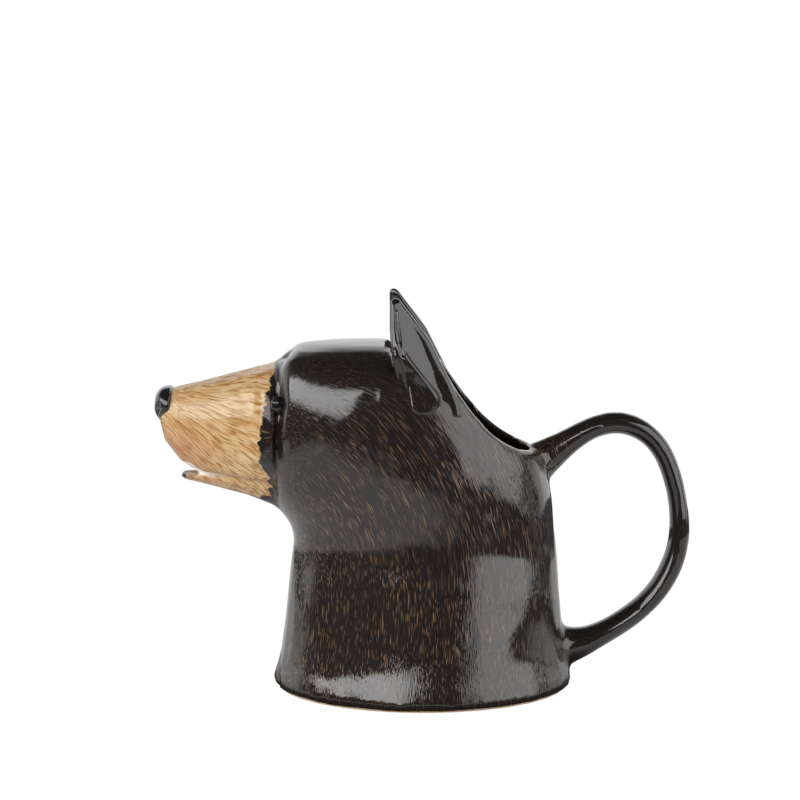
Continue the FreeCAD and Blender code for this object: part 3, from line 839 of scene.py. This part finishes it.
def ear_surface(up, back, outside):
    """Place on the left ear; up from foot to tip, back from front edge to rim."""
    front_place, rim_place, out, crease = ear_station(up)
    column, row = between(front_place, rim_place, back)
    width = (rim_place[0] - front_place[0]) * EAR_PIXEL
    out += ear_rise((1 - back) * width, FLAT_SHARE * width, (1 - FLAT_SHARE - crease) * width)
    grown = smooth_step(up, *EAR_GROWN)
    seat = ear_seat(front_place, rim_place, back) if grown < 1 else None
    if seat is not None:
        out += (seat - out) * (1 - grown)
    if outside:
        out += ear_pad(column, row)
        out -= CREASE_DEPTH * hill(line_distance(CREASE_LINE, column, row)[0], 0, CREASE_HALF)
        out -= max(rounding((1 - back) * width, min(RIM_ROUND, RIM_ROUND_SHARE * width)),
                   rounding(back * width, min(FRONT_ROUND, FRONT_ROUND_SHARE * width)),
                   rounding((row - EAR_TOP_ROW) * EAR_PIXEL, RIM_ROUND))
    else:
        bulge = math.sqrt(max(1 - (2 * back - 1) ** 4, 0.0)) * math.sqrt(max(1 - up ** 8, 0.0))
        out -= EDGE_THICKNESS + MORE_INSIDE * bulge
    x, z = ear_place(column, row)
    return x, -out, z


def ear_leaf(mirror):
    leaf = bmesh.new()
    for outside in (True, False):
        grid = bmesh.ops.create_grid(leaf, x_segments=EAR_GRID[0], y_segments=EAR_GRID[1], size=0.5)
        for vertex in grid["verts"]:
            x, y, z = ear_surface(vertex.co.x + 0.5, vertex.co.y + 0.5, outside)
            vertex.co = Vector((x, y * mirror, z)) * MM
    bmesh.ops.bridge_loops(leaf, edges=[edge for edge in leaf.edges if edge.is_boundary])
    bmesh.ops.recalc_face_normals(leaf, faces=leaf.faces)
    return leaf


EAR_MIDDLE = 130
EAR_FUR_SHEAR, EAR_FUR_LEAN = 0.55, 0.3


def fur_on_ear(x, y, z):
    return y, x + EAR_FUR_SHEAR * (z - EAR_MIDDLE), z - EAR_FUR_LEAN * x


for side, mirror in (("left", 1), ("right", -1)):
    ear_shape = ear_leaf(mirror)
    sponge(ear_shape, ear_shape.verts, EAR_ROUNDS)
    ear = finish_piece(side + "_ear_glazed", ear_shape, (side + "_ear",), thick_glaze)
    paint(ear.data, fur_on_ear, dark_all_over(EAR_BARE))

# Nose pad
# A pad of clay that wraps the tip of the muzzle, dipped in glossy black. Each nostril is a comma
# that opens to the side, and the pad's hidden back is pressed nearly flat.
NOSE_MIDDLE = Vector((-99.3, 0.0, 111.2))
NOSE_HALF = Vector((6.0, 12.6, 7.8))
NOSE_DETAIL = 6
NOSE_SQUARENESS = 2.6
NOSE_BACK = 0.3
NARROWER_BELOW, FLATTER_BELOW = 0.40, 0.25
NARROW_HEIGHTS, FLAT_HEIGHTS = (-1.0, 0.1), (-1.0, -0.1)
NOSTRIL_START = Vector((-102.0, 9.9, 111.6))
NOSTRIL_END = Vector((-104.4, 6.6, 108.4))
NOSTRIL_DEPTH, NOSTRIL_HALF, NOSTRIL_TAPER = 2.3, 2.9, 1.2
BLACKEST, BLACK = (0.006, 0.006, 0.007, 1), (0.018, 0.015, 0.014, 1)


def nose_pad():
    pad = bmesh.new()
    bmesh.ops.create_icosphere(pad, subdivisions=NOSE_DETAIL, radius=1.0)
    for vertex in pad.verts:
        swell = sum(abs(part) ** NOSE_SQUARENESS for part in vertex.co) ** (-1 / NOSE_SQUARENESS)
        x, y, z = vertex.co * swell
        x *= NOSE_BACK if x > 0 else 1.0
        x *= 1 - FLATTER_BELOW * fade(z, *FLAT_HEIGHTS)
        y *= 1 - NARROWER_BELOW * fade(z, *NARROW_HEIGHTS)
        vertex.co = (NOSE_MIDDLE + Vector((x, y, z)) * NOSE_HALF) * MM
    pad.normal_update()
    run = NOSTRIL_END - NOSTRIL_START
    for vertex in pad.verts:
        here = vertex.co / MM
        here.y = abs(here.y)
        share = min(max((here - NOSTRIL_START).dot(run) / run.length_squared, 0.0), 1.0)
        gap = (here - NOSTRIL_START - run * share).length
        depth = NOSTRIL_DEPTH * hill(gap, 0, NOSTRIL_HALF - NOSTRIL_TAPER * share)
        vertex.co -= vertex.normal * (depth * MM)
    return pad


black = bpy.data.materials.new("black_glaze")
tree = Tree(black)
spot = tree.speckle(900.0, 2.0)
tone = tree.mix(tree.ramp(spot, (0.45, 0.7)), BLACKEST, BLACK)
grain = tree.add("ShaderNodeBump", Strength=0.15, Distance=0.0002, Height=spot)
shader = tree.add("ShaderNodeBsdfPrincipled", Base_Color=tone, Roughness=0.18, Coat_Weight=0.6,
                  Coat_Roughness=0.04, Normal=grain)
tree.add("ShaderNodeOutputMaterial", Surface=shader)
finish_piece("nose_glazed", nose_pad(), ("nose",), black)

# Eyes
# Small balls of clay seated in sockets of the face, half hidden by the fold, and dipped in the
# same black as the nose.
EYE_VOXEL, EYE_ROUNDS = 0.25, 6
for side in ("left", "right"):
    eye_shape = fuse(side + "_eye_ball", [merged_copy(side + "_eye")], EYE_VOXEL, EYE_ROUNDS)
    finish_piece(side + "_eye_glazed", eye_shape, (side + "_eye",), black)

# Foot ring
# The ring that the jug stands on, turned under the floor of the neck. It is wiped clean of glaze
# before the firing and shows the bare clay.
CLAY, PALE_CLAY = (0.56, 0.38, 0.23, 1), (0.70, 0.53, 0.36, 1)
clay = bpy.data.materials.new("bare_clay")
tree = Tree(clay)
spot = tree.speckle(420.0, 4.0)
tone = tree.mix(tree.ramp(spot, (0.35, 0.7)), CLAY, PALE_CLAY)
grain = tree.add("ShaderNodeBump", Strength=0.3, Distance=0.0003, Height=spot)
shader = tree.add("ShaderNodeBsdfPrincipled", Base_Color=tone, Roughness=0.75, Normal=grain)
tree.add("ShaderNodeOutputMaterial", Surface=shader)
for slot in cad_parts["foot_ring"].material_slots:
    slot.material = clay
